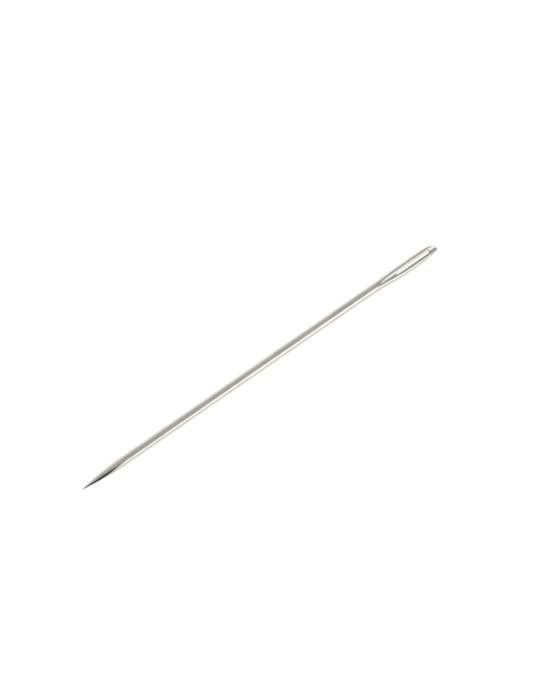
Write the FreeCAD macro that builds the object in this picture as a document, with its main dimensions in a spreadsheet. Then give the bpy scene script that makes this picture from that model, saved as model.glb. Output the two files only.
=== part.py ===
import FreeCAD, Part
import os
import Sketcher
from FreeCAD import Vector
from math import hypot, pi

# A hand sewing needle: one piece of round steel wire with a long ground point, a head stamped flat,
# a gutter on both faces of the head, a long eye, and a crown that leans a little to one side.
# Millimetres. The needle lies along X with its point towards -X, and the faces of its head look up and down.

doc = FreeCAD.newDocument("sewing_needle")

# Driving dimensions, each with what it measures
driving_dimensions = [
    ("needle_length", 48.5, "tip of the point to the top of the crown"),
    ("shaft_diameter", 1.0, "round wire"),
    ("point_length", 5.6, "ground point, up to the full wire"),
    ("tip_radius", 0.03, "rounding of the very tip"),
    ("head_length", 8.9, "start of the flattening to the top of the crown"),
    ("shoulder_length", 4.0, "start of the flattening to the full width of the head"),
    ("head_width", 1.28, "over the two rails beside the eye"),
    ("head_thickness", 0.70, "over the two stamped faces"),
    ("head_offset", 0.10, "middle of the head to the axis of the wire"),
    ("crown_length", 2.4, "full width of the head to the top of the crown"),
    ("crown_lean", 0.26, "top of the crown to the middle of the head"),
    ("crown_fullness", 2.9, "2 makes an elliptical crown, more makes it blunter"),
    ("eye_length", 4.7, "long way of the eye, over its round ends"),
    ("eye_width", 0.36, "short way of the eye"),
    ("eye_to_crown", 0.95, "end of the eye to the top of the crown"),
    ("eye_offset", 0.05, "middle of the eye and the gutters to the axis of the wire"),
    ("eye_rounding", 0.03, "rounding of the rim of the eye"),
    ("gutter_sweep", 30.0, "radius of the floor of the gutter, seen from the side"),
    ("gutter_depth", 0.21, "face of the head to the floor of the gutter, in the middle of the eye"),
    ("gutter_radius", 0.42, "radius of the round section of the gutter"),
]
sizes = doc.addObject("Spreadsheet::Sheet", "sizes")
for row, (name, value, meaning) in enumerate(driving_dimensions, start=1):
    sizes.set(f"A{row}", name)
    sizes.set(f"B{row}", str(value))
    sizes.set(f"C{row}", meaning)
    sizes.setAlias(f"B{row}", name)
doc.recompute()

# Places along the axis, from the middle of the needle's length
tip_place = "-sizes.needle_length / 2"
crown_place = "sizes.needle_length / 2"
head_start = "(sizes.needle_length / 2 - sizes.head_length)"
crown_start = "(sizes.needle_length / 2 - sizes.crown_length)"
eye_middle = "(sizes.needle_length / 2 - sizes.eye_to_crown - sizes.eye_length / 2)"

# How far along the shoulder and along the crown the sections of the head stand
shoulder_shares = (0.2, 0.4, 0.6, 0.8, 1.0)
crown_shares = (0.0, 0.4, 0.62, 0.79, 0.905, 0.965, 0.99)
lean_power = 7  # the crown stays straight for most of its length and leans near its top
gutter_turn = 40  # degrees of the gutter's ring, enough to rise clear of the steel at both ends

# Sketcher's numbers for the ends and the middle of a curve, and for the sketch's own axes and origin
first_end, second_end, centre = 1, 2, 3
sketch_axis = -1
sketch_upright = -2
sketch_origin = (-1, 1)


def size(name):
    return float(sizes.get(name))


def origin_plane(body, role):
    return next(item for item in body.Origin.OriginFeatures if item.Role == role)


# A sketch on one of the body's own planes, lifted along the plane's normal by an expression
def new_sketch(body, name, role, lift=None):
    sketch = body.newObject("Sketcher::SketchObject", name)
    sketch.AttachmentSupport = [(origin_plane(body, role), "")]
    sketch.MapMode = "FlatFace"
    if lift:
        sketch.setExpression("AttachmentOffset.Base.z", lift)
    return sketch


def rule(sketch, *words):
    return sketch.addConstraint(Sketcher.Constraint(*words))


# A named dimension of a sketch, driven by an expression
def dimension(sketch, name, expression, *words):
    index = rule(sketch, *words)
    sketch.renameConstraint(index, name)
    sketch.setExpression(f"Constraints.{name}", expression)


def line(sketch, start, end, construction=False):
    return sketch.addGeometry(Part.LineSegment(start, end), construction)


def circle(sketch, middle, radius):
    return sketch.addGeometry(Part.Circle(middle, Vector(0, 0, 1), radius))


def arc(sketch, middle, radius, first_angle, last_angle):
    whole = Part.Circle(middle, Vector(0, 0, 1), radius)
    return sketch.addGeometry(Part.ArcOfCircle(whole, first_angle, last_angle))


# The round wire and its point: a long arc that runs tangent into the wire and ends in a rounded tip
def add_shaft(body):
    wire_radius = size("shaft_diameter") / 2
    tip_radius = size("tip_radius")
    tip_x = -size("needle_length") / 2
    point_end = tip_x + size("point_length")
    wire_end = size("needle_length") / 2 - size("head_length")
    ogive_radius = (wire_radius ** 2 + size("point_length") ** 2) / (2 * wire_radius)
    ogive_centre = Vector(point_end, wire_radius - ogive_radius, 0)
    tip_centre = Vector(tip_x + tip_radius, 0, 0)
    ogive_angle = (tip_centre - ogive_centre).getAngle(Vector(1, 0, 0))

    profile = new_sketch(body, "shaft_profile", "XZ_Plane")
    tip = arc(profile, tip_centre, tip_radius, pi / 2, pi)
    ogive = arc(profile, ogive_centre, ogive_radius, pi / 2, ogive_angle)
    side = line(profile, Vector(point_end, wire_radius, 0), Vector(wire_end, wire_radius, 0))
    end = line(profile, Vector(wire_end, wire_radius, 0), Vector(wire_end, 0, 0))
    middle = line(profile, Vector(wire_end, 0, 0), Vector(tip_x, 0, 0))
    rule(profile, "Tangent", tip, first_end, ogive, second_end)
    rule(profile, "Tangent", ogive, first_end, side, first_end)
    rule(profile, "Coincident", side, second_end, end, first_end)
    rule(profile, "Coincident", end, second_end, middle, first_end)
    rule(profile, "Coincident", middle, second_end, tip, second_end)
    rule(profile, "Horizontal", side)
    rule(profile, "Vertical", end)
    rule(profile, "PointOnObject", middle, first_end, sketch_axis)
    rule(profile, "PointOnObject", middle, second_end, sketch_axis)
    rule(profile, "PointOnObject", tip, centre, sketch_axis)
    dimension(profile, "tip_radius", "sizes.tip_radius", "Radius", tip, tip_radius)
    dimension(profile, "wire_radius", "sizes.shaft_diameter / 2",
              "DistanceY", *sketch_origin, end, first_end, wire_radius)
    dimension(profile, "tip_place", tip_place, "DistanceX", *sketch_origin, middle, second_end, tip_x)
    dimension(profile, "point_length", "sizes.point_length",
              "DistanceX", middle, second_end, side, first_end, size("point_length"))
    dimension(profile, "wire_end", head_start, "DistanceX", *sketch_origin, end, first_end, wire_end)

    shaft = body.newObject("PartDesign::Revolution", "shaft")
    shaft.Profile = profile
    shaft.ReferenceAxis = (profile, ["H_Axis"])
    shaft.Angle = 360


# One oval section across the head, drawn roughly and then driven by its dimensions
def add_section(body, name, place, half_width, half_thickness, shift):
    section = new_sketch(body, name, "YZ_Plane", place)
    wide = size("head_width") / 2
    thick = size("head_thickness") / 2
    oval = section.addGeometry(Part.Ellipse(Vector(wide, 0, 0), Vector(0, thick, 0), Vector(0, 0, 0)))
    section.exposeInternalGeometry(oval)
    long_axis = oval + 1
    short_axis = oval + 2
    rule(section, "Horizontal", long_axis)
    rule(section, "PointOnObject", oval, centre, sketch_axis)
    dimension(section, "shift", shift, "DistanceX", oval, centre, *sketch_origin, 0)
    dimension(section, "width", f"2 * {half_width}", "Distance", long_axis, 2 * wide)
    dimension(section, "thickness", f"2 * {half_thickness}", "Distance", short_axis, 2 * thick)
    return section


# The head: blended out of the round wire, flat beside the eye, and closed by the leaning crown
def add_head(body):
    wire_section = new_sketch(body, "wire_section", "YZ_Plane", head_start)
    wire = circle(wire_section, Vector(0, 0, 0), size("shaft_diameter") / 2)
    rule(wire_section, "Coincident", wire, centre, *sketch_origin)
    dimension(wire_section, "diameter", "sizes.shaft_diameter", "Diameter", wire, size("shaft_diameter"))

    half_wire = "sizes.shaft_diameter / 2"
    half_width = "sizes.head_width / 2"
    half_thickness = "sizes.head_thickness / 2"
    sections = []
    for number, share in enumerate(shoulder_shares, start=1):
        ease = share ** 2 * (3 - 2 * share)
        sections.append(add_section(
            body,
            f"shoulder_section_{number}",
            f"{head_start} + sizes.shoulder_length * {share}",
            f"({half_wire} + ({half_width} - {half_wire}) * {ease})",
            f"({half_wire} + ({half_thickness} - {half_wire}) * {ease})",
            f"sizes.head_offset * {ease}",
        ))
    for number, share in enumerate(crown_shares, start=1):
        closing = f"(1 - {share}^sizes.crown_fullness)^(1 / sizes.crown_fullness)"
        sections.append(add_section(
            body,
            f"crown_section_{number}",
            f"{crown_start} + sizes.crown_length * {share}",
            f"({half_width} * {closing})",
            f"({half_thickness} * {closing})",
            f"sizes.head_offset + sizes.crown_lean * {share ** lean_power}",
        ))
    top = new_sketch(body, "crown_top", "YZ_Plane", crown_place)
    point = top.addGeometry(Part.Point(Vector(0, 0, 0)))
    rule(top, "PointOnObject", point, first_end, sketch_axis)
    dimension(top, "shift", "sizes.head_offset + sizes.crown_lean",
              "DistanceX", point, first_end, *sketch_origin, 0)
    sections.append(top)

    head = body.newObject("PartDesign::AdditiveLoft", "head")
    head.Profile = wire_section
    head.Sections = sections


# A round-bottomed gutter along each face, deepest in the middle of the eye, running out at both ends
def add_gutters(body):
    section = new_sketch(body, "gutter_section", "YZ_Plane", eye_middle)
    radius = size("gutter_radius")
    floor = size("head_thickness") / 2 - size("gutter_depth")
    axis_height = floor + size("gutter_sweep")
    floor_height = "sizes.head_thickness / 2 - sizes.gutter_depth"
    ring = circle(section, Vector(0, floor + radius, 0), radius)
    axis = line(section, Vector(-radius, axis_height, 0), Vector(radius, axis_height, 0), True)
    dimension(section, "radius", "sizes.gutter_radius", "Radius", ring, radius)
    dimension(section, "shift", "sizes.eye_offset", "DistanceX", ring, centre, *sketch_origin, 0)
    dimension(section, "height", f"{floor_height} + sizes.gutter_radius",
              "DistanceY", *sketch_origin, ring, centre, floor + radius)
    rule(section, "Symmetric", axis, first_end, axis, second_end, sketch_upright)
    dimension(section, "axis_length", "2 * sizes.gutter_radius", "Distance", axis, 2 * radius)
    dimension(section, "axis_height", f"{floor_height} + sizes.gutter_sweep",
              "DistanceY", *sketch_origin, axis, first_end, axis_height)

    gutter = body.newObject("PartDesign::Groove", "gutter")
    gutter.Profile = section
    gutter.ReferenceAxis = (section, ["Axis0"])
    gutter.Midplane = True
    gutter.Angle = gutter_turn
    doc.recompute()

    both = body.newObject("PartDesign::Mirrored", "both_gutters")
    both.Originals = [gutter]
    both.MirrorPlane = (origin_plane(body, "XY_Plane"), [""])
    body.Tip = both


# The eye: a long hole with round ends, punched straight through both faces
def add_eye(body):
    outline = new_sketch(body, "eye_outline", "XY_Plane")
    middle = size("needle_length") / 2 - size("eye_to_crown") - size("eye_length") / 2
    radius = size("eye_width") / 2
    reach = size("eye_length") / 2 - radius
    near_end = arc(outline, Vector(middle - reach, 0, 0), radius, pi / 2, 3 * pi / 2)
    far_end = arc(outline, Vector(middle + reach, 0, 0), radius, -pi / 2, pi / 2)
    left = line(outline, Vector(middle - reach, radius, 0), Vector(middle + reach, radius, 0))
    right = line(outline, Vector(middle - reach, -radius, 0), Vector(middle + reach, -radius, 0))
    rule(outline, "Tangent", left, first_end, near_end, first_end)
    rule(outline, "Tangent", left, second_end, far_end, second_end)
    rule(outline, "Tangent", right, first_end, near_end, second_end)
    rule(outline, "Tangent", right, second_end, far_end, first_end)
    rule(outline, "Horizontal", left)
    rule(outline, "Horizontal", right)
    dimension(outline, "end_radius", "sizes.eye_width / 2", "Radius", near_end, radius)
    dimension(outline, "length", "sizes.eye_length - sizes.eye_width",
              "DistanceX", near_end, centre, far_end, centre, 2 * reach)
    dimension(outline, "place", f"{eye_middle} + (sizes.eye_length - sizes.eye_width) / 2",
              "DistanceX", *sketch_origin, far_end, centre, middle + reach)
    dimension(outline, "shift", "sizes.eye_offset", "DistanceY", far_end, centre, *sketch_origin, 0)

    eye = body.newObject("PartDesign::Pocket", "eye")
    eye.Profile = outline
    eye.SideType = "Two sides"
    eye.Type = "ThroughAll"
    eye.Type2 = "ThroughAll"


# The edges where the wall of the eye meets the gutters and the faces of the head
def rim_of_eye(shape):
    middle = size("needle_length") / 2 - size("eye_to_crown") - size("eye_length") / 2
    radius = size("eye_width") / 2
    reach = size("eye_length") / 2 - radius
    nearness = 0.001

    def on_wall(point):
        beyond = max(abs(point.x - middle) - reach, 0)
        across = point.y + size("eye_offset")
        return abs(hypot(beyond, across) - radius) < nearness

    names = []
    for number, edge in enumerate(shape.Edges, start=1):
        if edge.Length < nearness:
            continue
        points = edge.discretize(Number=5)
        above = all(point.z > 0 for point in points)
        below = all(point.z < 0 for point in points)
        if all(on_wall(point) for point in points) and (above or below):
            names.append(f"Edge{number}")
    return names


def round_eye(body):
    doc.recompute()
    eye = body.Tip
    rim = body.newObject("PartDesign::Fillet", "eye_rim")
    rim.Base = (eye, rim_of_eye(eye.Shape))
    rim.setExpression("Radius", "sizes.eye_rounding")


needle = doc.addObject("PartDesign::Body", "needle")
needle.Label = "needle"
add_shaft(needle)
add_head(needle)
add_gutters(needle)
add_eye(needle)
round_eye(needle)

# The wire rests on the ground, and the middle of the head's width stands over the X axis
needle.setExpression("Placement.Base.y", "sizes.head_offset")
needle.setExpression("Placement.Base.z", "sizes.shaft_diameter / 2")
doc.recompute()

for item in doc.Objects:
    if "Invalid" in item.State or "Error" in item.State:
        raise RuntimeError(f"{item.Name} failed: {item.State}")
    if item.isDerivedFrom("Sketcher::SketchObject") and not item.FullyConstrained:
        raise RuntimeError(f"{item.Name} has a size or place that nothing sets")
volume = doc.getObject("head").Shape.Volume
for name in ("gutter", "both_gutters", "eye"):
    left = doc.getObject(name).Shape.Volume
    if left >= volume:
        raise RuntimeError(f"{name} cuts nothing")
    volume = left
if len(doc.getObject("eye_rim").Shape.Faces) <= len(doc.getObject("eye").Shape.Faces):
    raise RuntimeError("eye_rim rounds nothing")
if needle.Shape.isNull() or not needle.Shape.isValid() or len(needle.Shape.Solids) != 1:
    raise RuntimeError("the needle is not one sound solid")

os.makedirs("parts", exist_ok=True)
needle.Shape.exportStep("parts/needle.step")
print("needle", round(needle.Shape.Volume, 4), "cubic mm,", len(needle.Shape.Faces), "faces")
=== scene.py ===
import cmath
import math
import bmesh
import bpy
from mathutils import Matrix, Vector


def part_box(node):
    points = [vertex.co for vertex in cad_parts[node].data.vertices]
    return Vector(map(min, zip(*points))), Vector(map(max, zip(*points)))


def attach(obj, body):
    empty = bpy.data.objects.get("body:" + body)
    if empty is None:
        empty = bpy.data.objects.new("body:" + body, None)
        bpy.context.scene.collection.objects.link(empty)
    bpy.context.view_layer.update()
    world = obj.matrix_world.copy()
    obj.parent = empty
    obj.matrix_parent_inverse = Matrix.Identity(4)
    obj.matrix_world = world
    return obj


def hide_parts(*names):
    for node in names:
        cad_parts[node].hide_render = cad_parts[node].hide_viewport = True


# A hand sewing needle in plated steel, lying on a pale floor under soft light.
# The needle lies along X with its point towards -X, and the faces of its head look up and down.

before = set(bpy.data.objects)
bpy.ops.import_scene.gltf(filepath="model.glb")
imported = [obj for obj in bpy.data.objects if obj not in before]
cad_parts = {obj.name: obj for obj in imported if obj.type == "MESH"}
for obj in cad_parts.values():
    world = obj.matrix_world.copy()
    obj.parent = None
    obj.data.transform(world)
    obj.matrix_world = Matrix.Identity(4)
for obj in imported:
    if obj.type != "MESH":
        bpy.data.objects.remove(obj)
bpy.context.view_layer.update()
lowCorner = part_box("needle")[0]
millimetre = 0.001


# Helpers for node trees
def addNode(tree, kind, name=None, **settings):
    node = tree.nodes.new(kind)
    if name:
        node.name = node.label = name
    for key, value in settings.items():
        setattr(node, key, value)
    return node


def feed(tree, socket, value):
    if isinstance(value, bpy.types.NodeSocket):
        tree.links.new(value, socket)
    else:
        socket.default_value = value


def calc(tree, operation, *values, clamp=False):
    node = addNode(tree, "ShaderNodeMath", operation=operation, use_clamp=clamp)
    for socket, value in zip(node.inputs, values):
        feed(tree, socket, value)
    return node.outputs[0]


# The finish: bright plated steel with fine marks of polishing along the wire, and painted shade darkening
# the eye and its gutters
steelFinish = {
    "colour": (0.655, 0.635, 0.60, 1.0),
    "dullColour": (0.55, 0.52, 0.475, 1.0),
    # painted shade: the dark colour put into the wall of the eye and down in the gutters
    "paintedEyeShadeColour": (0.22, 0.208, 0.19, 1.0),
    "eyeRoughness": 0.34,
    "roughness": (0.04, 0.16),
    "markLength": 0.0035,     # metres along the wire
    "markWidth": 0.00004,
    "cloudSize": 0.0012,
    "markDepth": 0.35,
    "markHeight": 0.000002,
    "markRange": (0.3, 0.7),        # of the marks' noise, for the roughness
    "dullRange": (0.45, 0.75),      # of the clouds' noise, for the duller plating
    "dullShare": 0.6,
    "streakRange": (0.52, 0.72),    # of the marks' noise, for the thin plating in them
    "streakShare": 0.7,
}


def platedSteel():
    material = bpy.data.materials.new("platedSteel")
    material.use_nodes = True
    tree = material.node_tree
    surface = tree.nodes["Principled BSDF"]
    surface.inputs["Metallic"].default_value = 1.0

    place = addNode(tree, "ShaderNodeTexCoord", "place on the needle")
    stretch = addNode(tree, "ShaderNodeMapping", "marks run along the wire")
    stretch.inputs["Scale"].default_value = (
        1 / steelFinish["markLength"], 1 / steelFinish["markWidth"], 1 / steelFinish["markWidth"])
    tree.links.new(place.outputs["Object"], stretch.inputs["Vector"])
    marks = addNode(tree, "ShaderNodeTexNoise", "polishing marks")
    marks.inputs["Scale"].default_value = 1.0
    marks.inputs["Detail"].default_value = 3.0
    tree.links.new(stretch.outputs["Vector"], marks.inputs["Vector"])
    clouds = addNode(tree, "ShaderNodeTexNoise", "uneven plating")
    clouds.inputs["Scale"].default_value = 1 / steelFinish["cloudSize"]
    clouds.inputs["Detail"].default_value = 4.0
    tree.links.new(place.outputs["Object"], clouds.inputs["Vector"])

    tint = addNode(tree, "ShaderNodeMix", "tint", data_type="RGBA")
    tint.inputs["A"].default_value = steelFinish["colour"]
    tint.inputs["B"].default_value = steelFinish["dullColour"]
    duller = addNode(tree, "ShaderNodeMapRange", "where the plating is duller")
    duller.inputs["From Min"].default_value = steelFinish["dullRange"][0]
    duller.inputs["From Max"].default_value = steelFinish["dullRange"][1]
    duller.inputs["To Max"].default_value = steelFinish["dullShare"]
    tree.links.new(clouds.outputs["Fac"], duller.inputs["Value"])
    streaks = addNode(tree, "ShaderNodeMapRange", "thin plating in the marks")
    streaks.inputs["From Min"].default_value = steelFinish["streakRange"][0]
    streaks.inputs["From Max"].default_value = steelFinish["streakRange"][1]
    streaks.inputs["To Max"].default_value = steelFinish["streakShare"]
    tree.links.new(marks.outputs["Fac"], streaks.inputs["Value"])
    dullness = calc(tree, "ADD", duller.outputs["Result"], streaks.outputs["Result"], clamp=True)
    tree.links.new(dullness, tint.inputs["Factor"])
    eyeShade = addNode(tree, "ShaderNodeAttribute", "painted shade mask of the eye", attribute_name="eyeShade").outputs["Fac"]
    shadedTint = addNode(tree, "ShaderNodeMix", "eye darkened by painted shade", data_type="RGBA")
    # Painted shade: the base colour is darkened in the wall of the eye and deep in the gutters, where shade
    # falls
    shadedTint.inputs["B"].default_value = steelFinish["paintedEyeShadeColour"]
    tree.links.new(eyeShade, shadedTint.inputs["Factor"])
    tree.links.new(tint.outputs["Result"], shadedTint.inputs["A"])
    tree.links.new(shadedTint.outputs["Result"], surface.inputs["Base Color"])

    rough = addNode(tree, "ShaderNodeMapRange", "roughness of the marks")
    rough.inputs["From Min"].default_value = steelFinish["markRange"][0]
    rough.inputs["From Max"].default_value = steelFinish["markRange"][1]
    rough.inputs["To Min"].default_value = steelFinish["roughness"][0]
    rough.inputs["To Max"].default_value = steelFinish["roughness"][1]
    tree.links.new(marks.outputs["Fac"], rough.inputs["Value"])
    blunter = addNode(tree, "ShaderNodeMix", "duller in the eye", data_type="FLOAT")
    blunter.inputs["B"].default_value = steelFinish["eyeRoughness"]
    tree.links.new(eyeShade, blunter.inputs["Factor"])
    tree.links.new(rough.outputs["Result"], blunter.inputs["A"])
    tree.links.new(blunter.outputs["Result"], surface.inputs["Roughness"])

    relief = addNode(tree, "ShaderNodeBump", "depth of the marks")
    relief.inputs["Strength"].default_value = steelFinish["markDepth"]
    relief.inputs["Distance"].default_value = steelFinish["markHeight"]
    tree.links.new(marks.outputs["Fac"], relief.inputs["Height"])
    tree.links.new(relief.outputs["Normal"], surface.inputs["Normal"])
    return material


# The needle's sizes in millimetres; X is counted from the middle of its length
needleSizes = {
    "length": 48.5,
    "wireRadius": 0.5,
    "pointLength": 5.6,
    "tipRadius": 0.03,
    "headLength": 8.9,
    "shoulderLength": 4.0,
    "headWidth": 1.28,
    "headThickness": 0.70,
    "headOffset": 0.10,
    "crownLength": 2.4,
    "crownLean": 0.26,
    "crownFullness": (2.9, 2.0),   # on the side of +Y and of -Y; 2 is elliptical
    "leanPower": 7,
    "eyeLength": 4.7,
    "eyeWidth": 0.36,
    "eyeToCrown": 0.95,
    "eyeOffset": 0.05,        # middle of the eye and the gutters to the axis of the wire
    "eyeRounding": 0.03,
    "gutterSweep": 41.0,      # radius of its floor seen from the side, towards the wire
    "gutterDepth": 0.16,
    "gutterRadius": 0.60,
    "gutterLip": 0.04,
    "gutterDrift": 0.11,      # the gutter starts this much nearer to +Y than the eye
    "driftStart": 0.6,        # share of half the eye before the drift begins
    "gutterTurn": 0.01,       # and ends this much nearer to -Y
    "gutterSink": 0.34,       # share of the crown's thickness that it is deeper by at its end
    "sinkShare": 0.2,         # how much of that it has where the eye ends
    "skin": 0.001,            # how far the surface stays inside the solid
}

# How finely the needle is divided
needleDivisions = {
    "acrossHalf": 96,
    "pointRings": 80,
    "wireRings": 60,
    "shoulderRows": 60,
    "gateSide": 14,
    "eyeSide": 90,
    "crown": 96,
    "rimToEdge": 40,
    "rimRounding": 4,
    "eyeWall": 6,
}

tipX = lowCorner.x / millimetre + needleSizes["skin"]
crownX = lowCorner.x / millimetre + needleSizes["length"] - needleSizes["skin"]
wireEndX = crownX - needleSizes["headLength"]
eyeMiddleX = crownX - needleSizes["eyeToCrown"] - needleSizes["eyeLength"] / 2
eyeMiddleY = needleSizes["headOffset"] - needleSizes["eyeOffset"]
axisHeight = needleSizes["wireRadius"]


# The wire and its point as Geometry Nodes: a grid rolled round the axis, its radius set by the ogive
def wireTree():
    tree = bpy.data.node_groups.new("wireAndPoint", "GeometryNodeTree")
    tree.interface.new_socket("Geometry", in_out="INPUT", socket_type="NodeSocketGeometry")
    tree.interface.new_socket("Geometry", in_out="OUTPUT", socket_type="NodeSocketGeometry")
    for name in ("Tip X", "Point Length", "Wire Length", "Wire Radius", "Tip Radius",
                 "Ogive Radius", "Tip Share", "Axis Y", "Axis Z", "Unit"):
        tree.interface.new_socket(name, in_out="INPUT", socket_type="NodeSocketFloat")
    for name in ("Sides", "Point Rings", "Wire Rings"):
        tree.interface.new_socket(name, in_out="INPUT", socket_type="NodeSocketInt")
    tree.interface.new_socket("Material", in_out="INPUT", socket_type="NodeSocketMaterial")
    given = addNode(tree, "NodeGroupInput").outputs
    result = addNode(tree, "NodeGroupOutput")

    columns = calc(tree, "ADD", given["Sides"], 1.0)
    rings = calc(tree, "ADD", given["Point Rings"], given["Wire Rings"])
    grid = addNode(tree, "GeometryNodeMeshGrid", "unrolled wire")
    tree.links.new(calc(tree, "ADD", rings, 1.0), grid.inputs["Vertices X"])
    tree.links.new(columns, grid.inputs["Vertices Y"])

    index = addNode(tree, "GeometryNodeInputIndex").outputs[0]
    ring = calc(tree, "FLOOR", calc(tree, "DIVIDE", calc(tree, "ADD", index, 0.5), columns))
    column = calc(tree, "SUBTRACT", index, calc(tree, "MULTIPLY", ring, columns))
    turn = calc(tree, "MULTIPLY", calc(tree, "DIVIDE", column, given["Sides"]), 2 * math.pi)

    # Rings crowd towards the tip, and are even along the wire
    pointShare = calc(tree, "MINIMUM", calc(tree, "DIVIDE", ring, given["Point Rings"]), 1.0)
    pointPlace = calc(tree, "MULTIPLY", calc(tree, "POWER", pointShare, 2.0), given["Point Length"])
    past = calc(tree, "MAXIMUM", calc(tree, "SUBTRACT", ring, given["Point Rings"]), 0.0)
    straight = calc(tree, "SUBTRACT", given["Wire Length"], given["Point Length"])
    wirePlace = calc(tree, "MULTIPLY", calc(tree, "DIVIDE", past, given["Wire Rings"]), straight)
    along = calc(tree, "ADD", pointPlace, wirePlace)

    # Radius of the ogive, and of the small ball that rounds the tip
    back = calc(tree, "MAXIMUM", calc(tree, "SUBTRACT", given["Point Length"], along), 0.0)
    ogiveSquare = calc(tree, "MULTIPLY", given["Ogive Radius"], given["Ogive Radius"])
    ogive = calc(tree, "SQRT", calc(tree, "SUBTRACT", ogiveSquare, calc(tree, "MULTIPLY", back, back)))
    drop = calc(tree, "SUBTRACT", given["Ogive Radius"], given["Wire Radius"])
    ogiveRadius = calc(tree, "SUBTRACT", ogive, drop)
    doubled = calc(tree, "SUBTRACT", calc(tree, "MULTIPLY", given["Tip Radius"], 2.0), along)
    ballRadius = calc(tree, "SQRT", calc(tree, "MAXIMUM", calc(tree, "MULTIPLY", along, doubled), 0.0))
    onBall = calc(tree, "LESS_THAN", along, given["Tip Share"])
    radius = calc(tree, "ADD", calc(tree, "MULTIPLY", ballRadius, onBall),
                  calc(tree, "MULTIPLY", ogiveRadius, calc(tree, "SUBTRACT", 1.0, onBall)))

    place = addNode(tree, "ShaderNodeCombineXYZ", "place in millimetres")
    tree.links.new(calc(tree, "ADD", given["Tip X"], along), place.inputs["X"])
    across = calc(tree, "MULTIPLY", radius, calc(tree, "COSINE", turn))
    upward = calc(tree, "MULTIPLY", radius, calc(tree, "SINE", turn))
    tree.links.new(calc(tree, "ADD", given["Axis Y"], across), place.inputs["Y"])
    tree.links.new(calc(tree, "ADD", given["Axis Z"], upward), place.inputs["Z"])
    inMetres = addNode(tree, "ShaderNodeVectorMath", "in metres", operation="SCALE")
    tree.links.new(place.outputs[0], inMetres.inputs[0])
    tree.links.new(given["Unit"], inMetres.inputs["Scale"])

    roll = addNode(tree, "GeometryNodeSetPosition", "rolled up")
    tree.links.new(grid.outputs["Mesh"], roll.inputs["Geometry"])
    tree.links.new(inMetres.outputs[0], roll.inputs["Position"])
    weld = addNode(tree, "GeometryNodeMergeByDistance", "seam and tip closed")
    weld.inputs["Distance"].default_value = 1e-8
    tree.links.new(roll.outputs["Geometry"], weld.inputs["Geometry"])
    real = addNode(tree, "GeometryNodeRealizeInstances")
    tree.links.new(weld.outputs["Geometry"], real.inputs["Geometry"])
    paint = addNode(tree, "GeometryNodeSetMaterial")
    tree.links.new(real.outputs["Geometry"], paint.inputs["Geometry"])
    tree.links.new(given["Material"], paint.inputs["Material"])
    tree.links.new(paint.outputs["Geometry"], result.inputs["Geometry"])
    return tree


def setInputs(modifier, values):
    names = {item.name: item.identifier for item in modifier.node_group.interface.items_tree
             if item.item_type == "SOCKET" and item.in_out == "INPUT"}
    for name, value in values.items():
        modifier[names[name]] = value


def wireAndPoint(material):
    wireRadius = needleSizes["wireRadius"] - needleSizes["skin"]
    tipRadius = needleSizes["tipRadius"]
    pointLength = needleSizes["pointLength"]
    ogiveRadius = ((pointLength - tipRadius) ** 2 + wireRadius ** 2 - tipRadius ** 2) / (
        2 * (wireRadius - tipRadius))
    tipShare = tipRadius - tipRadius * (pointLength - tipRadius) / (ogiveRadius - tipRadius)
    carrier = bpy.data.objects.new("wireCarrier", bpy.data.meshes.new("wireCarrier"))
    bpy.context.scene.collection.objects.link(carrier)
    modifier = carrier.modifiers.new("wireAndPoint", "NODES")
    modifier.node_group = wireTree()
    setInputs(modifier, {
        "Tip X": tipX,
        "Point Length": pointLength,
        "Wire Length": wireEndX - tipX,
        "Wire Radius": wireRadius,
        "Tip Radius": tipRadius,
        "Ogive Radius": ogiveRadius,
        "Tip Share": tipShare,
        "Axis Y": needleSizes["headOffset"],
        "Axis Z": axisHeight,
        "Unit": millimetre,
        "Sides": 2 * needleDivisions["acrossHalf"],
        "Point Rings": needleDivisions["pointRings"],
        "Wire Rings": needleDivisions["wireRings"],
        "Material": material,
    })
    bpy.context.view_layer.update()
    evaluated = carrier.evaluated_get(bpy.context.evaluated_depsgraph_get())
    mesh = bpy.data.meshes.new_from_object(evaluated)
    bpy.data.objects.remove(carrier)
    return mesh


# The head's oval section at a place along the axis: half widths to +Y and to -Y, half thickness and middle
def headSection(x):
    wireRadius = needleSizes["wireRadius"] - needleSizes["skin"]
    fullWidth = needleSizes["headWidth"] / 2 - needleSizes["skin"]
    fullThickness = needleSizes["headThickness"] / 2
    share = min(max((x - wireEndX) / needleSizes["shoulderLength"], 0), 1)
    ease = share ** 2 * (3 - 2 * share)
    crownShare = max((x - crownX) / needleSizes["crownLength"] + 1, 0)
    closings = [max(1 - crownShare ** power, 0) ** (1 / power) for power in needleSizes["crownFullness"]]
    halfWidths = [(wireRadius + (fullWidth - wireRadius) * ease) * closing for closing in closings]
    halfThickness = (wireRadius + (fullThickness - wireRadius) * ease) * closings[0]
    middle = needleSizes["headOffset"] * (1 - ease)
    middle -= needleSizes["crownLean"] * crownShare ** needleSizes["leanPower"]
    return *halfWidths, halfThickness, middle


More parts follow.
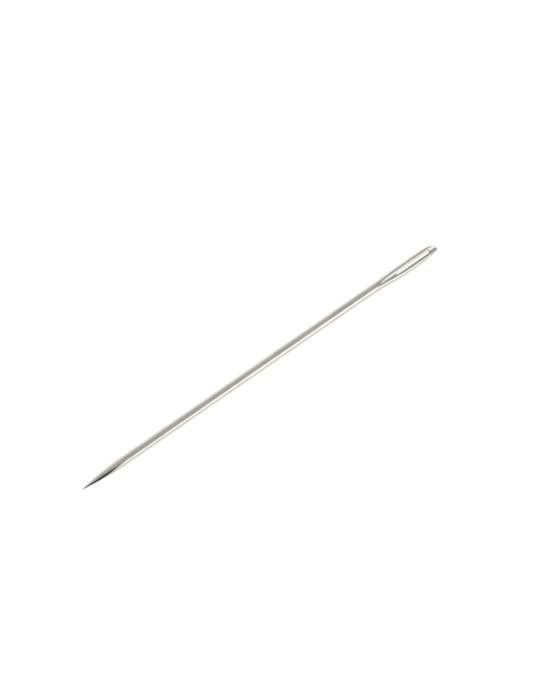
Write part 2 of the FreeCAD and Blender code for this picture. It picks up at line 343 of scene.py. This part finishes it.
# Height of the gutter's floor over the middle plane, or None beside the gutter
def gutterHeight(x, y):
    radius = needleSizes["gutterRadius"]
    sweep = needleSizes["gutterSweep"]
    halfLength = needleSizes["eyeLength"] / 2
    before = min(max((eyeMiddleX - x) / halfLength - needleSizes["driftStart"], 0), 1)
    crownShare = (x - eyeMiddleX - halfLength) / (crownX - eyeMiddleX - halfLength)
    past = min(max(crownShare + needleSizes["sinkShare"], 0), 1)
    beside = y - eyeMiddleY - needleSizes["gutterDrift"] * before + needleSizes["gutterTurn"] * past
    if abs(beside) >= radius:
        return None
    rise = radius - math.sqrt(radius ** 2 - beside ** 2)
    if x > eyeMiddleX:
        share = 1 - 2 * needleSizes["gutterDepth"] / needleSizes["headThickness"]
        return headSection(x)[2] * (share - needleSizes["gutterSink"] * past) + rise
    floor = needleSizes["headThickness"] / 2 - needleSizes["gutterDepth"]
    return floor + sweep - math.sqrt((sweep - rise) ** 2 - (x - eyeMiddleX) ** 2)


# Height of the upper face over the middle plane, with the gutter's lip rounded
def faceHeight(x, y):
    towardsPlus, towardsMinus, halfThickness, middle = headSection(x)
    halfWidth = towardsPlus if y > middle else towardsMinus
    if halfWidth < 1e-6:
        return 0
    share = min(abs(y - middle) / halfWidth, 1)
    oval = halfThickness * math.sqrt(1 - share ** 2)
    gutter = gutterHeight(x, y)
    if gutter is None:
        return oval
    lip = needleSizes["gutterLip"]
    near = max(lip - abs(oval - gutter), 0) / lip
    return max(min(oval, gutter) - near ** 2 * lip / 4, 0)


def evenly(points, count):
    lengths = [0]
    for first, second in zip(points, points[1:]):
        lengths.append(lengths[-1] + math.dist(first, second))
    result = []
    segment = 0
    for step in range(count + 1):
        goal = lengths[-1] * step / count
        while segment < len(points) - 2 and lengths[segment + 1] < goal:
            segment += 1
        part = (goal - lengths[segment]) / (lengths[segment + 1] - lengths[segment])
        first, second = points[segment], points[segment + 1]
        result.append((first[0] + (second[0] - first[0]) * part, first[1] + (second[1] - first[1]) * part))
    return result


# The outline of the head seen from above, on the side of +Y (side = 1) or -Y (side = -1)
def sidePoint(x, side):
    towardsPlus, towardsMinus, _, middle = headSection(x)
    return x, middle + (towardsPlus if side > 0 else -towardsMinus)


def headOutline(gateX, nearX, farX):
    divisions = needleDivisions
    halfWidth, _, _, middle = headSection(gateX)
    across = divisions["acrossHalf"]
    crossLine = [(gateX, middle + halfWidth * math.cos(math.pi * step / across))
                 for step in range(across + 1)]
    gateSide = [gateX + (nearX - gateX) * step / divisions["gateSide"]
                for step in range(1, divisions["gateSide"] + 1)]
    eyeSide = [nearX + (farX - nearX) * step / divisions["eyeSide"]
               for step in range(1, divisions["eyeSide"] + 1)]
    fine = 400
    crownSide = [farX + (crownX - farX) * (1 - (1 - step / fine) ** 4) for step in range(fine + 1)]
    crown = [sidePoint(x, -1) for x in crownSide] + [sidePoint(x, 1) for x in reversed(crownSide[:-1])]
    crown = evenly(crown, divisions["crown"])
    outline = crossLine + [sidePoint(x, -1) for x in gateSide + eyeSide]
    outline += crown[1:] + [sidePoint(x, 1) for x in reversed(eyeSide[:-1])]
    outline.append(sidePoint(nearX, 1))
    outline += [sidePoint(x, 1) for x in reversed(gateSide[:-1])]
    return outline


# The eye's own outline with as many points as the head's, its corners facing the same corners
def eyeOutline(nearX, farX, radius):
    divisions = needleDivisions
    nearCount = divisions["acrossHalf"] + 2 * divisions["gateSide"]
    near = []
    for step in range(nearCount + 1):
        angle = math.pi / 2 + math.pi * step / nearCount
        near.append((nearX + radius * math.cos(angle), eyeMiddleY + radius * math.sin(angle)))
    lower = [(nearX + (farX - nearX) * step / divisions["eyeSide"], eyeMiddleY - radius)
             for step in range(1, divisions["eyeSide"] + 1)]
    far = []
    for step in range(1, divisions["crown"] + 1):
        angle = -math.pi / 2 + math.pi * step / divisions["crown"]
        far.append((farX + radius * math.cos(angle), eyeMiddleY + radius * math.sin(angle)))
    upper = [(farX + (nearX - farX) * step / divisions["eyeSide"], eyeMiddleY + radius)
             for step in range(1, divisions["eyeSide"])]
    loop = near + lower + far + upper
    start = divisions["gateSide"]
    return loop[start:] + loop[:start]


def headMesh():
    divisions = needleDivisions
    eyeRadius = needleSizes["eyeWidth"] / 2
    reach = needleSizes["eyeLength"] / 2 - eyeRadius
    nearX, farX = eyeMiddleX - reach, eyeMiddleX + reach
    gateX = nearX - 3 * eyeRadius
    vertices = []
    faces = []

    def addRow(points):
        start = len(vertices)
        for x, y, z in points:
            vertices.append((x, y, z + axisHeight))
        return list(range(start, len(vertices)))

    def joinRows(rows, closed, flip):
        for first, second in zip(rows, rows[1:]):
            count = len(first)
            for step in range(count if closed else count - 1):
                following = (step + 1) % count
                corners = [first[step], first[following], second[following], second[step]]
                faces.append(corners[::-1] if flip else corners)

    across = divisions["acrossHalf"]
    for side in (1, -1):
        shoulder = []
        for row in range(divisions["shoulderRows"] + 1):
            x = wireEndX + (gateX - wireEndX) * row / divisions["shoulderRows"]
            halfWidth, _, _, middle = headSection(x)
            points = []
            for step in range(across + 1):
                y = middle + halfWidth * math.cos(math.pi * step / across)
                edge = step in (0, across)
                points.append((x, y, 0 if edge else side * faceHeight(x, y)))
            shoulder.append(addRow(points))
        joinRows(shoulder, False, side < 0)

        rounding = needleSizes["eyeRounding"]
        outer = headOutline(gateX, nearX, farX)
        inner = eyeOutline(nearX, farX, eyeRadius + rounding)
        rows = []
        for row in range(divisions["rimToEdge"] + 1):
            share = math.sin(math.pi / 2 * row / divisions["rimToEdge"])
            points = []
            for number, (first, second) in enumerate(zip(inner, outer)):
                x = first[0] + (second[0] - first[0]) * share
                y = first[1] + (second[1] - first[1]) * share
                height = faceHeight(x, y)
                if row == divisions["rimToEdge"] and (number == 0 or number >= across):
                    height = 0
                points.append((x, y, side * height))
            rows.append(addRow(points))
        joinRows(rows[::-1], True, side < 0)

        # The rim rounds over into the wall of the eye
        rimRows = [rows[0]]
        rimHeights = [faceHeight(x, y) for x, y in inner]
        for step in range(1, divisions["rimRounding"] + 1):
            angle = math.pi / 2 * step / divisions["rimRounding"]
            loop = eyeOutline(nearX, farX, eyeRadius + rounding * (1 - math.sin(angle)))
            drop = rounding * (1 - math.cos(angle))
            rimRows.append(addRow([(x, y, side * (height - drop))
                                   for (x, y), height in zip(loop, rimHeights)]))
        loop = eyeOutline(nearX, farX, eyeRadius)
        for step in range(1, divisions["eyeWall"] + 1):
            part = 1 - step / divisions["eyeWall"]
            rimRows.append(addRow([(x, y, side * (height - rounding) * part)
                                   for (x, y), height in zip(loop, rimHeights)]))
        joinRows(rimRows, True, side < 0)

    mesh = bpy.data.meshes.new("needleHead")
    mesh.from_pydata([tuple(value * millimetre for value in vertex) for vertex in vertices], [], faces)
    return mesh


# How strongly the painted shade in the eye and its gutters shows, with rougher steel there
eyeShading = {
    "atRim": 0.30,            # share on the outer edge of the eye's rim; 1 in its wall
    "inGutter": 0.30,
    "startDepth": 0.01,       # millimetres under the head's oval
    "fullDepth": 0.04,
    "reach": 1.6,             # fades out this many half eyes from the eye's middle
}


# How far a point of the surface takes the painted shade: 1 in the wall of the eye, part of it deeper down
# in the gutters
def eyeShadeShare(place):
    x, y = place.x / millimetre, place.y / millimetre
    height = abs(place.z / millimetre - axisHeight)
    reach = (needleSizes["eyeLength"] - needleSizes["eyeWidth"]) / 2
    beyond = max(abs(x - eyeMiddleX) - reach, 0)
    fromEye = math.hypot(beyond, y - eyeMiddleY) - needleSizes["eyeWidth"] / 2
    if fromEye < needleSizes["eyeRounding"]:
        return 1 - max(fromEye, 0) / needleSizes["eyeRounding"] * (1 - eyeShading["atRim"])
    towardsPlus, towardsMinus, halfThickness, middle = headSection(x)
    halfWidth = towardsPlus if y > middle else towardsMinus
    if x < wireEndX or halfWidth < 1e-6:
        return 0
    oval = halfThickness * math.sqrt(max(1 - ((y - middle) / halfWidth) ** 2, 0))
    nearEye = min(max(eyeShading["reach"] - abs(eyeMiddleX - x) / (needleSizes["eyeLength"] / 2), 0), 1)
    depth = min(max(oval - height - eyeShading["startDepth"], 0) / eyeShading["fullDepth"], 1)
    return depth * eyeShading["inGutter"] * nearEye


def makeNeedle():
    material = platedSteel()
    wire = wireAndPoint(material)
    head = headMesh()
    build = bmesh.new()
    build.from_mesh(wire)
    build.from_mesh(head)
    bmesh.ops.remove_doubles(build, verts=build.verts, dist=2e-8)
    bmesh.ops.recalc_face_normals(build, faces=build.faces)
    for face in build.faces:
        face.smooth = True
        face.material_index = 0
    mesh = bpy.data.meshes.new("polished_needle")
    build.to_mesh(mesh)
    openEdges = sum(1 for edge in build.edges if len(edge.link_faces) != 2)
    volume = build.calc_volume()
    build.free()
    # Mask of the painted shade in the eye and the gutters, which also makes the steel rougher there
    share = mesh.attributes.new("eyeShade", "FLOAT", "POINT")
    for vertex in mesh.vertices:
        share.data[vertex.index].value = eyeShadeShare(vertex.co)
    mesh.materials.clear()
    mesh.materials.append(material)
    piece = bpy.data.objects.new("polished_needle", mesh)
    bpy.context.scene.collection.objects.link(piece)
    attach(piece, "root")
    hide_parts("needle")
    print("needle:", len(mesh.vertices), "points,", len(mesh.polygons), "faces,",
          openEdges, "open edges,", round(volume * 1e9, 3), "cubic mm")
    return piece


makeNeedle()

# Pale floor: it keeps the shadow, and is white to the camera and in the steel
studio = {
    "floorSize": 0.8,
    "floorColour": (0.42, 0.42, 0.42, 1.0),
    "floorGlow": 0.745,
    "lampSize": 0.30,
    "lampHeight": 0.35,
    "lampPower": 0.3,
    "lampPlace": (0.05, -0.08),
    "fillLight": 0.55,
}


def seenDirectly(tree):
    rays = addNode(tree, "ShaderNodeLightPath").outputs
    seen = calc(tree, "MAXIMUM", rays["Is Camera Ray"], rays["Is Glossy Ray"])
    return calc(tree, "MAXIMUM", seen, rays["Is Transmission Ray"])


def makeFloor():
    half = studio["floorSize"] / 2
    mesh = bpy.data.meshes.new("floor")
    corners = [(-half, -half, 0), (half, -half, 0), (half, half, 0), (-half, half, 0)]
    mesh.from_pydata(corners, [], [(0, 1, 2, 3)])
    floor = bpy.data.objects.new("floor", mesh)
    bpy.context.scene.collection.objects.link(floor)
    material = bpy.data.materials.new("paleFloor")
    material.use_nodes = True
    tree = material.node_tree
    surface = tree.nodes["Principled BSDF"]
    surface.inputs["Base Color"].default_value = studio["floorColour"]
    surface.inputs["Roughness"].default_value = 1.0
    surface.inputs["Specular IOR Level"].default_value = 0.0
    surface.inputs["Emission Color"].default_value = (1, 1, 1, 1)
    glow = calc(tree, "MULTIPLY", seenDirectly(tree), studio["floorGlow"])
    tree.links.new(glow, surface.inputs["Emission Strength"])
    mesh.materials.append(material)


# What the steel mirrors: bands of light over the needle, by their angle from overhead in degrees,
# positive towards -Y, each with its brightness
lightBands = {
    "side": [(-92, 0.78), (-80, 0.70), (-65, 0.665), (-50, 0.645), (-38, 0.61), (-25, 0.57), (0, 0.54),
             (7, 0.58), (10, 1.6), (56, 1.6), (64, 1.0), (92, 1.0)],
    "point": [(-92, 0.76), (-80, 0.68), (-50, 0.63), (-25, 0.59), (0, 0.54), (6, 0.45), (10, 0.02),
              (84, 0.02), (90, 0.5), (92, 1.0)],
    "crown": [(-92, 0.62), (-68, 0.42), (-50, 0.56), (-30, 0.64), (-10, 0.52), (10, 0.50), (60, 0.42),
              (84, 0.36), (92, 0.90)],
    "change": (0.18, 0.29),   # how far the mirrored ray leans towards the head
    "crownChange": (0.52, 0.75),
    "slant": 0.15,            # the edge of the bright band leans this much towards -Y
    "crownSlant": 0.35,       # and the greys round the crown reach this much further on the side of +Y
    "warmth": (1.0, 0.965, 0.92),
    "top": 1.8,
}


def bandRamp(tree, angle, bands, name):
    ramp = addNode(tree, "ShaderNodeValToRGB", name)
    elements = ramp.color_ramp.elements
    while len(elements) > 1:
        elements.remove(elements[-1])
    for number, (degrees, brightness) in enumerate(bands):
        position = 0.5 + degrees / 360
        element = elements[0] if number == 0 else elements.new(position)
        element.position = position
        level = brightness / lightBands["top"]
        white = brightness > 1
        colour = [level * (1 if white else tone) for tone in lightBands["warmth"]]
        element.color = (*colour, 1)
    tree.links.new(angle, ramp.inputs["Fac"])
    return ramp.outputs["Color"]


def makeWorld():
    world = bpy.data.worlds.new("softStudio")
    bpy.context.scene.world = world
    world.use_nodes = True
    tree = world.node_tree
    tree.nodes.clear()
    direction = addNode(tree, "ShaderNodeTexCoord").outputs["Generated"]
    parts = addNode(tree, "ShaderNodeSeparateXYZ")
    tree.links.new(direction, parts.inputs[0])
    around = calc(tree, "ARCTAN2", calc(tree, "MULTIPLY", parts.outputs["Y"], -1.0), parts.outputs["Z"])
    angle = calc(tree, "ADD", calc(tree, "DIVIDE", around, 2 * math.pi), 0.5)
    side = bandRamp(tree, angle, lightBands["side"], "beside the wire")
    point = bandRamp(tree, angle, lightBands["point"], "towards the point")
    change = addNode(tree, "ShaderNodeMapRange", "towards the head", interpolation_type="SMOOTHSTEP")
    change.inputs["From Min"].default_value = lightBands["change"][0]
    change.inputs["From Max"].default_value = lightBands["change"][1]
    slanted = calc(tree, "MULTIPLY", parts.outputs["Y"], -lightBands["slant"])
    tree.links.new(calc(tree, "ADD", parts.outputs["X"], slanted), change.inputs["Value"])
    mirrored = addNode(tree, "ShaderNodeMix", "mirrored light", data_type="RGBA")
    tree.links.new(change.outputs["Result"], mirrored.inputs["Factor"])
    tree.links.new(point, mirrored.inputs["A"])
    tree.links.new(side, mirrored.inputs["B"])

    pastCrown = addNode(tree, "ShaderNodeMapRange", "past the crown", interpolation_type="SMOOTHSTEP")
    pastCrown.inputs["From Min"].default_value = lightBands["crownChange"][0]
    pastCrown.inputs["From Max"].default_value = lightBands["crownChange"][1]
    further = calc(tree, "MULTIPLY", parts.outputs["Y"], lightBands["crownSlant"])
    tree.links.new(calc(tree, "ADD", parts.outputs["X"], further), pastCrown.inputs["Value"])
    everywhere = addNode(tree, "ShaderNodeMix", "all mirrored light", data_type="RGBA")
    tree.links.new(pastCrown.outputs["Result"], everywhere.inputs["Factor"])
    tree.links.new(mirrored.outputs["Result"], everywhere.inputs["A"])
    tree.links.new(bandRamp(tree, angle, lightBands["crown"], "around the crown"), everywhere.inputs["B"])

    rays = addNode(tree, "ShaderNodeLightPath").outputs
    inSteel = addNode(tree, "ShaderNodeBackground")
    tree.links.new(everywhere.outputs["Result"], inSteel.inputs["Color"])
    inSteel.inputs["Strength"].default_value = lightBands["top"]
    plain = addNode(tree, "ShaderNodeBackground")
    plain.inputs["Color"].default_value = (1, 1, 1, 1)
    plain.inputs["Strength"].default_value = studio["fillLight"]
    white = addNode(tree, "ShaderNodeBackground")
    white.inputs["Color"].default_value = (1, 1, 1, 1)
    first = addNode(tree, "ShaderNodeMixShader")
    tree.links.new(rays["Is Glossy Ray"], first.inputs["Fac"])
    tree.links.new(plain.outputs[0], first.inputs[1])
    tree.links.new(inSteel.outputs[0], first.inputs[2])
    second = addNode(tree, "ShaderNodeMixShader")
    seen = calc(tree, "MAXIMUM", rays["Is Camera Ray"], rays["Is Transmission Ray"])
    tree.links.new(seen, second.inputs["Fac"])
    tree.links.new(first.outputs[0], second.inputs[1])
    tree.links.new(white.outputs[0], second.inputs[2])
    output = addNode(tree, "ShaderNodeOutputWorld")
    tree.links.new(second.outputs[0], output.inputs["Surface"])


def makeLamp():
    light = bpy.data.lights.new("softLamp", "AREA")
    light.size = studio["lampSize"]
    light.energy = studio["lampPower"]
    lamp = bpy.data.objects.new("softLamp", light)
    lamp.location = (*studio["lampPlace"], studio["lampHeight"])
    lamp.rotation_euler = (Vector((0, 0, 0)) - lamp.location).to_track_quat("-Z", "Y").to_euler()
    lamp.visible_glossy = False
    bpy.context.scene.collection.objects.link(lamp)


makeFloor()
makeWorld()
makeLamp()
print("studio: floor, light bands and lamp")

# The camera looks down on the needle, with its point and crown on their pixels of the photograph
cameraView = {
    "imageSize": (540, 700),
    "tipPixel": (82.3, 489.5),
    "crownPixel": (437.2, 248.9),
    "leanToPoint": 14.0,      # degrees from overhead towards the point
    "leanToSide": 6.0,        # degrees from overhead towards +Y
    "needleSlope": 34.5,      # degrees that the wire climbs in the picture
    "distance": 0.42,
    "sensor": 36.0,
    "firstLens": 190.0,       # corrected below until the needle fills its place
}


def pixelOf(camera, point):
    width, height = cameraView["imageSize"]
    local = camera.matrix_world.inverted() @ Vector(point)
    scale = camera.data.lens / cameraView["sensor"] * height / -local.z
    return complex(width / 2 + local.x * scale, height / 2 - local.y * scale)


def makeCamera():
    lens = bpy.data.cameras.new("camera")
    camera = bpy.data.objects.new("camera", lens)
    bpy.context.scene.collection.objects.link(camera)
    bpy.context.scene.camera = camera
    lens.sensor_width = cameraView["sensor"]
    lens.clip_start = 0.01
    lens.clip_end = 10.0
    lens.lens = cameraView["firstLens"]
    toPoint = math.radians(cameraView["leanToPoint"])
    toSide = math.radians(cameraView["leanToSide"])
    slope = math.radians(cameraView["needleSlope"])
    outward = Vector((-math.sin(toPoint), math.cos(toPoint) * math.sin(toSide),
                      math.cos(toPoint) * math.cos(toSide)))
    alongWire = Vector((math.cos(toPoint), math.sin(toPoint) * math.sin(toSide),
                        math.sin(toPoint) * math.cos(toSide)))
    acrossWire = outward.cross(alongWire)
    right = alongWire * math.cos(slope) - acrossWire * math.sin(slope)
    up = outward.cross(right)
    turn = Matrix((right, up, outward)).transposed()
    place = Vector((0, 0, 0)) + outward * cameraView["distance"]
    tip = (tipX * millimetre, needleSizes["headOffset"] * millimetre, axisHeight * millimetre)
    crown = (crownX * millimetre, -needleSizes["crownLean"] * millimetre, axisHeight * millimetre)
    wantTip = complex(*cameraView["tipPixel"])
    wantCrown = complex(*cameraView["crownPixel"])
    for attempt in range(8):
        camera.matrix_world = Matrix.Translation(place) @ turn.to_4x4()
        bpy.context.view_layer.update()
        haveTip, haveCrown = pixelOf(camera, tip), pixelOf(camera, crown)
        lens.lens *= abs(wantCrown - wantTip) / abs(haveCrown - haveTip)
        roll = cmath.phase((wantCrown - wantTip) / (haveCrown - haveTip))
        turn = turn @ Matrix.Rotation(roll, 3, "Z")
        camera.matrix_world = Matrix.Translation(place) @ turn.to_4x4()
        bpy.context.view_layer.update()
        miss = (pixelOf(camera, tip) + pixelOf(camera, crown) - wantTip - wantCrown) / 2
        perPixel = cameraView["distance"] * cameraView["sensor"] / lens.lens / cameraView["imageSize"][1]
        place += turn @ Vector((miss.real * perPixel, -miss.imag * perPixel, 0))
    camera.matrix_world = Matrix.Translation(place) @ turn.to_4x4()
    bpy.context.view_layer.update()
    print("camera: lens", round(lens.lens, 1), "tip at", pixelOf(camera, tip),
          "crown at", pixelOf(camera, crown))


makeCamera()

bpy.context.scene.view_settings.view_transform = "Standard"
